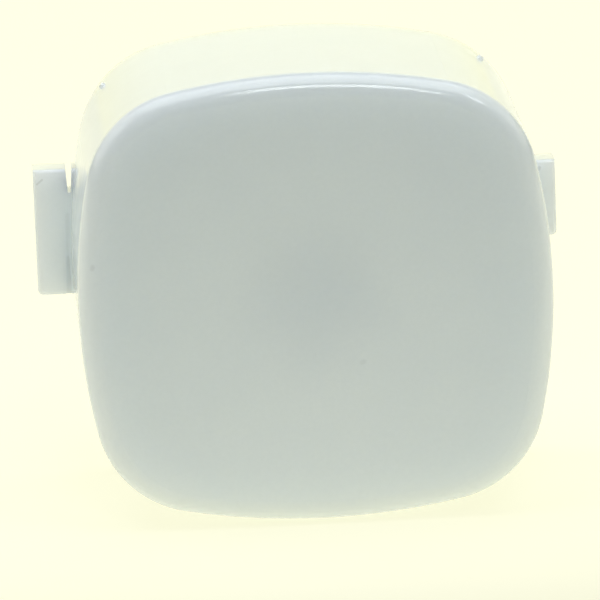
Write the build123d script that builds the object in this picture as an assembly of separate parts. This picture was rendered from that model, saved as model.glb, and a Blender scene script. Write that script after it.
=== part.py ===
"""White push button cap of a dryer's control panel, moulded in one piece.

The cap is drawn face up: X to the right, Y up the face and Z out of the face towards the user, with
the sides of the face at zero. At the end it is turned upright, so that the face looks along -Y and its
top edge is up (+Z), and its origin moves to the tip of the pusher, on the line along which the button
is pressed.
"""

from build123d import *
import os
from math import atan2, degrees, radians, tan

# Face: a square with bowed sides and rounded corners, slightly dished for the finger.
FACE_WIDTH = 26.0
FACE_HEIGHT = 24.9
SIDE_BOW = 1.8  # bulge of the left and right sides
END_BOW = 1.7  # bulge of the top and bottom sides
CORNER_RADIUS = 5.9
DISH = 0.35  # depth of the dish over the width of the face
EDGE_RADIUS = 1.1  # rounding between face and skirt

# Skirt: open at the back, a little wider there so that it leaves its mould.
DEPTH = 16.0
DRAFT = 0.75  # degrees
SKIRT_WALL = 1.6
FACE_WALL = 1.7  # at the middle of the dish
INNER_BEVEL = 0.7  # inside, between face and skirt

# Pusher: the cross-shaped post behind the face that works the switch.
PUSHER_SPAN = 6.4
PUSHER_BLADE = 1.3
PUSHER_DRAFT = 0.5  # degrees
PUSHER_RECESS = 1.0  # from the back rim in to the pusher's tip

# Lugs: flush with the back rim, they stop the cap behind the panel. Reaches are from the sides of the
# face, tops from its middle.
LUG_DEPTH = 1.9
LUG_EDGE = 0.2  # rounding of the edges that meet the panel
LEFT_REACH = 2.2
LEFT_TOP = 5.25
LEFT_HEIGHT = 7.25
LEFT_FOOT_RADIUS = 0.3  # outer lower corner of the left lug
RIGHT_REACH = 1.5
RIGHT_TOP = 4.5
RIGHT_HEIGHT = 4.4
RIGHT_FOOT_RADIUS = 0.3

# Relief in the left lug, which parts its outer plate from the skirt.
PLATE_WIDTH = 1.85
SLIT_WIDTH = 0.36  # at the top of the lug, where the slit is open
SLIT_FOOT = 0.18  # its width at its lower end
SLIT_HEIGHT = 1.35
GROOVE_WIDTH = 0.36  # at the foot of the lug, nothing at the groove's top
GROOVE_DEPTH = 0.3  # the same
GROOVE_HEIGHT = 4.9
GROOVE_SHIFT = 0.1  # from the plate's edge out to the groove's middle

# Pips: small tapered studs on the skirt's rounded corners that hold the cap in the panel.
PIP_RADIUS = 0.23  # at the skirt
PIP_HEIGHT = 0.17
PIP_TAPER = 25  # degrees
PIP_FROM_RIM = 1.9
PIP_PLACE = 0.56  # share of the corner's length, going round to the left


def bow_radius(half_chord, bow):
    """The radius of an arc that bulges by a bow over twice the half chord."""
    return (half_chord**2 + bow**2) / (2 * bow)


def outline(depth, inset=0):
    """The cap's outline at a depth behind the face's sides, moved in by an inset, as a flat face."""
    grow = depth * tan(radians(DRAFT)) - inset
    side_radius = bow_radius(FACE_HEIGHT / 2 - END_BOW, SIDE_BOW)
    end_radius = bow_radius(FACE_WIDTH / 2 - SIDE_BOW, END_BOW)
    # The square with bowed sides is what four discs have in common.
    left = Pos(side_radius - FACE_WIDTH / 2, 0) * Circle(side_radius + grow)
    right = Rot(Z=180) * left
    bottom = Pos(0, end_radius - FACE_HEIGHT / 2) * Circle(end_radius + grow)
    top = Rot(Z=180) * bottom
    square = left & right & bottom & top
    return Pos(0, 0, -depth) * fillet(square.vertices(), CORNER_RADIUS + grow)


def drafted(back, height):
    """A prism on its back face whose sides lean in towards the front by the mould's draft."""
    straight = extrude(back, height)
    return draft(straight.faces().filter_by(GeomType.CYLINDER), Plane.XY.offset(-DEPTH), DRAFT)


def front_edges(solid):
    """The edges all round the foremost face of a solid."""
    return solid.faces().sort_by(Axis.Z)[-1].edges()


def outside():
    """The solid cap without lugs: a drafted prism whose front is dished and has a rounded edge."""
    rise = 2 * DISH  # spare height for the ball to cut the corners, which stand above the sides
    prism = drafted(outline(DEPTH), DEPTH + rise)
    ball_radius = bow_radius(FACE_WIDTH / 2, DISH)
    # The ball's poles are laid sideways, so that the dish is one plain patch.
    ball = Pos(0, 0, ball_radius - DISH) * Rot(X=90) * Sphere(ball_radius)
    return fillet(front_edges(prism - ball), EDGE_RADIUS)


def hollow():
    """The space inside the skirt, open at the back rim."""
    core = drafted(outline(DEPTH, SKIRT_WALL), DEPTH - DISH - FACE_WALL)
    return chamfer(front_edges(core), INNER_BEVEL)


def lug_block(side, reach, top, height, foot_radius):
    """A lug from the cap's middle plane out to its reach, on the left (side -1) or the right (side 1)."""
    width = FACE_WIDTH / 2 + reach
    profile = Pos(side * width / 2, top - height / 2) * Rectangle(width, height)
    outer_foot = profile.vertices().sort_by(Axis.Y)[:2].sort_by(Axis.X)[0 if side < 0 else -1]
    profile = fillet(outer_foot, foot_radius)
    block = extrude(Pos(0, 0, -DEPTH) * profile, LUG_DEPTH)
    panel_edges = front_edges(block)
    inner_edge = panel_edges.sort_by(Axis.X)[-1 if side < 0 else 0]
    return fillet([edge for edge in panel_edges if edge != inner_edge], LUG_EDGE)


def left_lug():
    """The left lug, with a slit open at the top and below it a groove that deepens towards the foot."""
    block = lug_block(-1, LEFT_REACH, LEFT_TOP, LEFT_HEIGHT, LEFT_FOOT_RADIUS)
    plate_edge = PLATE_WIDTH - LEFT_REACH - FACE_WIDTH / 2
    slit_middle = plate_edge + SLIT_WIDTH / 2
    slit_end = LEFT_TOP - SLIT_HEIGHT
    slit = Polyline(
        (plate_edge, LEFT_TOP),
        (slit_middle - SLIT_FOOT / 2, slit_end),
        (slit_middle + SLIT_FOOT / 2, slit_end),
        (plate_edge + SLIT_WIDTH, LEFT_TOP),
        close=True,
    )
    slit_cut = extrude(Pos(0, 0, -DEPTH) * make_face(slit), LUG_DEPTH)
    # The wedge is drawn from its top to twice its length, past the foot, and leans into the lug.
    far = -2 * GROOVE_HEIGHT
    wedge = Polyline((0, 0), (-GROOVE_WIDTH, far), (GROOVE_WIDTH, far), close=True)
    groove_top = Pos(plate_edge - GROOVE_SHIFT, LEFT_TOP - LEFT_HEIGHT + GROOVE_HEIGHT, LUG_DEPTH - DEPTH)
    slope = Rot(X=degrees(atan2(GROOVE_DEPTH, GROOVE_HEIGHT)))
    groove_cut = groove_top * slope * extrude(make_face(wedge), LUG_DEPTH)
    return block - slit_cut - groove_cut


def right_lug():
    """The right lug, a plain tab."""
    return lug_block(1, RIGHT_REACH, RIGHT_TOP, RIGHT_HEIGHT, RIGHT_FOOT_RADIUS)


def pips():
    """A tapered stud on each rounded corner of the skirt, rooted in half the wall."""
    stud = extrude(Circle(PIP_RADIUS), PIP_HEIGHT, taper=PIP_TAPER)
    stud += extrude(Circle(PIP_RADIUS), -SKIRT_WALL / 2)
    corners = outline(DEPTH - PIP_FROM_RIM).edges().sort_by(SortBy.RADIUS)[:4]
    places = [(corner @ PIP_PLACE, corner.arc_center) for corner in corners]
    return [Plane(place, z_dir=place - centre) * stud for place, centre in places]


def pusher():
    """The cross-shaped post, from its tip up into the face wall."""
    cross = Rectangle(PUSHER_SPAN, PUSHER_BLADE) + Rectangle(PUSHER_BLADE, PUSHER_SPAN)
    return extrude(Pos(0, 0, -TIP_DEPTH) * cross, TIP_DEPTH - DISH - FACE_WALL / 2, taper=-PUSHER_DRAFT)


TIP_DEPTH = DEPTH - PUSHER_RECESS

cap = outside() + left_lug() + right_lug() + pips() - hollow() + pusher()
upright = Pos(0, -TIP_DEPTH, 0) * Rot(X=90) * cap

os.makedirs("parts", exist_ok=True)
export_step(upright, "parts/button_cap.step")
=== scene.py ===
"""A white push button cap standing on a pale floor, seen from the front and a little above."""

from math import cos, radians, sin

import bpy
from mathutils import Matrix, Vector


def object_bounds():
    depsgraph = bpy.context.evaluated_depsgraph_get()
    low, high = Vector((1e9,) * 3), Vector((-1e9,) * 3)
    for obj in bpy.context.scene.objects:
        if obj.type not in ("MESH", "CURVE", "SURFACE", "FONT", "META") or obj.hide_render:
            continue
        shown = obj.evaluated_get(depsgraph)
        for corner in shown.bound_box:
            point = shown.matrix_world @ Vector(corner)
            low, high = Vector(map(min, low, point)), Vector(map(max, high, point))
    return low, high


MM = 0.001

# Camera: its place as seen from the middle of the face, then its lens and sensor in mm.
FACE_MIDDLE = Vector((0, -15, 0)) * MM
CAMERA_DISTANCE = 300 * MM
CAMERA_LEFT = radians(2.73)
CAMERA_UP = radians(12.33)
CAMERA_ROLL = radians(2.17)
LENS = 330.4
SENSOR_WIDTH = 36
SHIFT_X = -0.029
SHIFT_Y = 0.0017
NEAREST_SEEN = 10 * MM

# Noises: turns per metre and detail. What lies inside a noise's range is stretched out.
CLOUD_NOISE = (260, 4)
CLOUD_RANGE = (0.35, 0.65)
GRAIN_NOISE = (4200, 2)
SHEEN_NOISE = (900, 3)
SKIN_NOISE = (2600, 3)
FLOOR_NOISE = (12, 3)
NOISE_RANGE = (0.3, 0.7)  # of the grain, the sheen and the floor

# Plastic: its colour, a darker tone, and the most of that tone in the clouds and in the grain.
PLASTIC = (0.775, 0.842, 0.95, 1)
PLASTIC_SHADE = (0.725, 0.792, 0.9, 1)
CLOUD_SHARE = 0.25
GRAIN_SHARE = 0.3
ROUGHNESS_RANGE = (0.09, 0.11)
REFRACTION = 1.6

# The share of the light that spreads inside the plastic, and how far it goes in red, green and blue.
SPREAD_SHARE = 0.8
SPREAD_COLOUR = (1, 1, 0.95)
SPREAD_REACH = 4.2 * MM

# Fine unevenness of the plastic's skin.
SKIN_STRENGTH = 0.02
SKIN_HEIGHT = 0.02 * MM

# Small dark marks: where each starts and ends in mm, half its breadth in mm, and how strongly it shows.
# The first four are small specks and a scratch; the last two paint shade as one line along the left lug's
# groove.
# Colour of the specks and the scratch, and of the painted shade in the groove.
DIRT_AND_GROOVE_SHADE = (0.19, 0.19, 0.17, 1)
MARK_CORE = 0.4  # share of the half breadth over which a mark is at its darkest
MARKS = [
    ((-12.18, -14.94, 2.36), (-12.14, -14.94, 2.46), 0.18, 0.12),
    ((2.34, -14.68, -3.63), (2.44, -14.68, -3.59), 0.18, 0.08),
    ((13.56, -0.9, 3.96), (13.6, -0.9, 4.06), 0.13, 0.24),
    ((-14.98, -0.9, 4.45), (-14.68, -0.9, 4.7), 0.08, 0.22),
    ((-13.36, -0.9, 2.6), (-13.43, -0.61, -2.0), 0.17, 0.07),
    ((-13.38, -0.73, 0.05), (-13.43, -0.61, -2.0), 0.22, 0.14),
]

# Floor: two close tones, and a glow that rises along Y from low in front of the cap to high behind its face.
FLOOR = (0.3, 0.3, 0.28, 1)
FLOOR_SHADE = (0.29, 0.29, 0.27, 1)
FLOOR_ROUGHNESS = 0.9
FLOOR_REACH = 0.75  # metres from the floor's middle to its sides
GLOW = (1, 0.985, 0.72, 1)
GLOW_START = -78 * MM
GLOW_END = -15 * MM
GLOW_LOW = 0.2
GLOW_HIGH = 0.77

# Dim light from all round.
WORLD = (0.9, 0.95, 1.0, 1)
WORLD_STRENGTH = 0.03

# Soft lamps: degrees to the left of the face and up, distance, width and height in metres, watts and colour.
LAMPS = [
    ("overhead", 0, 90, 0.55, 0.7, 0.6, 2.65, (0.95, 1, 1)),
    ("front", -6, 41.5, 0.6, 0.14, 0.15, 0.38, (0.95, 0.99, 1)),
    ("right", -50, 46, 0.6, 0.14, 0.14, 0.28, (0.95, 0.99, 1)),
    ("left_side", 100, 33, 0.6, 0.6, 0.5, 1.1, (1, 0.98, 0.92)),
    ("right_side", -100, 33, 0.6, 0.6, 0.5, 0.7, (1, 0.98, 0.75)),
    ("back", 180, 18, 0.72, 1.2, 0.5, 2.05, (1, 0.97, 0.6)),
]


def node(tree, kind, **settings):
    """A new shader node with its settings."""
    new = tree.nodes.new(kind)
    for name, value in settings.items():
        setattr(new, name, value)
    return new


def noise(tree, place, scale, detail):
    """A noise texture in an object's own coordinates, its scale in turns per metre."""
    texture = node(tree, "ShaderNodeTexNoise")
    texture.inputs["Scale"].default_value = scale
    texture.inputs["Detail"].default_value = detail
    tree.links.new(place, texture.inputs["Vector"])
    return texture.outputs["Fac"]


def map_range(tree, value, low, high, to_low, to_high):
    """A value stretched from one range to another and held inside it."""
    new = node(tree, "ShaderNodeMapRange")
    for name, number in (("From Min", low), ("From Max", high), ("To Min", to_low), ("To Max", to_high)):
        new.inputs[name].default_value = number
    tree.links.new(value, new.inputs["Value"])
    return new.outputs["Result"]


def mix_colour(tree, share, first, second):
    """Two colours mixed by a share, each a socket or a plain colour."""
    new = node(tree, "ShaderNodeMix", data_type="RGBA")
    tree.links.new(share, new.inputs["Factor"])
    for name, value in (("A", first), ("B", second)):
        socket = next(entry for entry in new.inputs if entry.name == name and entry.type == "RGBA")
        if isinstance(value, tuple):
            socket.default_value = value
        else:
            tree.links.new(value, socket)
    return next(entry for entry in new.outputs if entry.type == "RGBA")


def vector_math(tree, operation, first, second, output="Vector"):
    """An operation on two vectors, each a socket or a plain vector."""
    new = node(tree, "ShaderNodeVectorMath", operation=operation)
    for index, value in enumerate((first, second)):
        if isinstance(value, Vector):
            new.inputs[index].default_value = value
        else:
            tree.links.new(value, new.inputs[index])
    return new.outputs[output]


def mark(tree, place, colour, start, end, half_breadth, strength):
    """The colour with one soft dark mark that runs from its start to its end."""
    start = Vector(start) * MM
    along = Vector(end) * MM - start
    from_start = vector_math(tree, "SUBTRACT", place, start)
    share = vector_math(tree, "DOT_PRODUCT", from_start, along, "Value")
    share = map_range(tree, share, 0, along.length_squared, 0, 1)
    nearest = node(tree, "ShaderNodeVectorMath", operation="SCALE")
    nearest.inputs[0].default_value = along
    tree.links.new(share, nearest.inputs["Scale"])
    distance = vector_math(tree, "DISTANCE", from_start, nearest.outputs["Vector"], "Value")
    dark = map_range(tree, distance, MARK_CORE * half_breadth * MM, half_breadth * MM, strength, 0)
    return mix_colour(tree, dark, colour, DIRT_AND_GROOVE_SHADE)


def new_material(name):
    """A new material with its tree and its shader."""
    material = bpy.data.materials.new(name)
    material.use_nodes = True
    return material, material.node_tree, material.node_tree.nodes["Principled BSDF"]


def white_plastic():
    """Moulded white plastic: soft gloss, a faint cloudy tone, a fine skin, a few small marks and a line of
    painted shade in the left lug's groove.
    """
    material, tree, shader = new_material("white_plastic")
    place = node(tree, "ShaderNodeTexCoord").outputs["Object"]
    cloud = map_range(tree, noise(tree, place, *CLOUD_NOISE), *CLOUD_RANGE, 0, CLOUD_SHARE)
    grain = map_range(tree, noise(tree, place, *GRAIN_NOISE), *NOISE_RANGE, 0, GRAIN_SHARE)
    colour = mix_colour(tree, cloud, PLASTIC, PLASTIC_SHADE)
    colour = mix_colour(tree, grain, colour, PLASTIC_SHADE)
    # Specks, a scratch, and painted shade along the left lug's groove.
    for start, end, half_breadth, strength in MARKS:
        colour = mark(tree, place, colour, start, end, half_breadth, strength)
    tree.links.new(colour, shader.inputs["Base Color"])
    sheen = map_range(tree, noise(tree, place, *SHEEN_NOISE), *NOISE_RANGE, *ROUGHNESS_RANGE)
    tree.links.new(sheen, shader.inputs["Roughness"])
    shader.inputs["IOR"].default_value = REFRACTION
    shader.inputs["Subsurface Weight"].default_value = SPREAD_SHARE
    shader.inputs["Subsurface Radius"].default_value = SPREAD_COLOUR
    shader.inputs["Subsurface Scale"].default_value = SPREAD_REACH
    skin = node(tree, "ShaderNodeBump")
    skin.inputs["Strength"].default_value = SKIN_STRENGTH
    skin.inputs["Distance"].default_value = SKIN_HEIGHT
    tree.links.new(noise(tree, place, *SKIN_NOISE), skin.inputs["Height"])
    tree.links.new(skin.outputs["Normal"], shader.inputs["Normal"])
    return material


def floor_finish():
    """A plain matt floor that glows softly, as a light table does, and less in front of the cap."""
    material, tree, shader = new_material("floor")
    place = node(tree, "ShaderNodeTexCoord").outputs["Object"]
    cloud = map_range(tree, noise(tree, place, *FLOOR_NOISE), *NOISE_RANGE, 0, 1)
    tree.links.new(mix_colour(tree, cloud, FLOOR, FLOOR_SHADE), shader.inputs["Base Color"])
    shader.inputs["Roughness"].default_value = FLOOR_ROUGHNESS
    shader.inputs["Specular IOR Level"].default_value = 0
    along = node(tree, "ShaderNodeSeparateXYZ")
    tree.links.new(place, along.inputs["Vector"])
    glow = map_range(tree, along.outputs["Y"], GLOW_START, GLOW_END, GLOW_LOW, GLOW_HIGH)
    glow.node.interpolation_type = "SMOOTHSTEP"
    tree.links.new(glow, shader.inputs["Emission Strength"])
    shader.inputs["Emission Color"].default_value = GLOW
    return material


def floor(height):
    """A wide flat floor under the cap."""
    mesh = bpy.data.meshes.new("floor")
    corners = [(-1, -1), (1, -1), (1, 1), (-1, 1)]
    mesh.from_pydata([(x * FLOOR_REACH, y * FLOOR_REACH, 0) for x, y in corners], [], [(0, 1, 2, 3)])
    mesh.materials.append(floor_finish())
    piece = bpy.data.objects.new("floor", mesh)
    piece.location.z = height
    bpy.context.scene.collection.objects.link(piece)


def from_face(distance, left, up):
    """A point at a distance from the face's middle, at angles to its left and upwards."""
    way = Vector((-sin(left) * cos(up), -cos(left) * cos(up), sin(up)))
    return FACE_MIDDLE + distance * way


def aim(place, target):
    """The turn that points a camera or lamp from a place to a target."""
    return (target - place).to_track_quat("-Z", "Y").to_matrix().to_4x4()


def softbox(name, left, up, distance, width, height, power, colour):
    """A rectangular soft lamp that points at the middle of the face."""
    lamp = bpy.data.lights.new(name, "AREA")
    lamp.shape = "RECTANGLE"
    lamp.size = width
    lamp.size_y = height
    lamp.energy = power
    lamp.color = colour
    piece = bpy.data.objects.new(name, lamp)
    place = from_face(distance, radians(left), radians(up))
    piece.matrix_world = Matrix.Translation(place) @ aim(place, FACE_MIDDLE)
    bpy.context.scene.collection.objects.link(piece)


def camera():
    """A long lens a little above and to the left of the face, rolled slightly."""
    lens = bpy.data.cameras.new("camera")
    lens.lens = LENS
    lens.sensor_width = SENSOR_WIDTH
    lens.shift_x = SHIFT_X
    lens.shift_y = SHIFT_Y
    lens.clip_start = NEAREST_SEEN
    piece = bpy.data.objects.new("camera", lens)
    place = from_face(CAMERA_DISTANCE, CAMERA_LEFT, CAMERA_UP)
    roll = Matrix.Rotation(-CAMERA_ROLL, 4, "Z")
    piece.matrix_world = Matrix.Translation(place) @ aim(place, FACE_MIDDLE) @ roll
    bpy.context.scene.collection.objects.link(piece)
    bpy.context.scene.camera = piece


def surroundings():
    """Dim even light from all round, and plain colours in the picture."""
    world = bpy.data.worlds.new("studio")
    world.use_nodes = True
    background = world.node_tree.nodes["Background"]
    background.inputs["Color"].default_value = WORLD
    background.inputs["Strength"].default_value = WORLD_STRENGTH
    scene = bpy.context.scene
    scene.world = world
    scene.view_settings.view_transform = "Standard"
    scene.view_settings.look = "None"


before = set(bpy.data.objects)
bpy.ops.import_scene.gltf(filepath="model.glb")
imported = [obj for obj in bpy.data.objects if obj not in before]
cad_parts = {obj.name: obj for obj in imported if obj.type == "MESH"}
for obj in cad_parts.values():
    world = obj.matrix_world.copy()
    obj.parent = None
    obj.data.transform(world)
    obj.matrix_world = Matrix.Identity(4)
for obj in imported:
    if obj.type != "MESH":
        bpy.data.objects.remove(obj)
cad_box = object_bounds()

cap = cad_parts["button_cap"]
cap.material_slots[0].material = white_plastic()

floor(cad_box[0].z)
surroundings()
for lamp in LAMPS:
    softbox(*lamp)
camera()
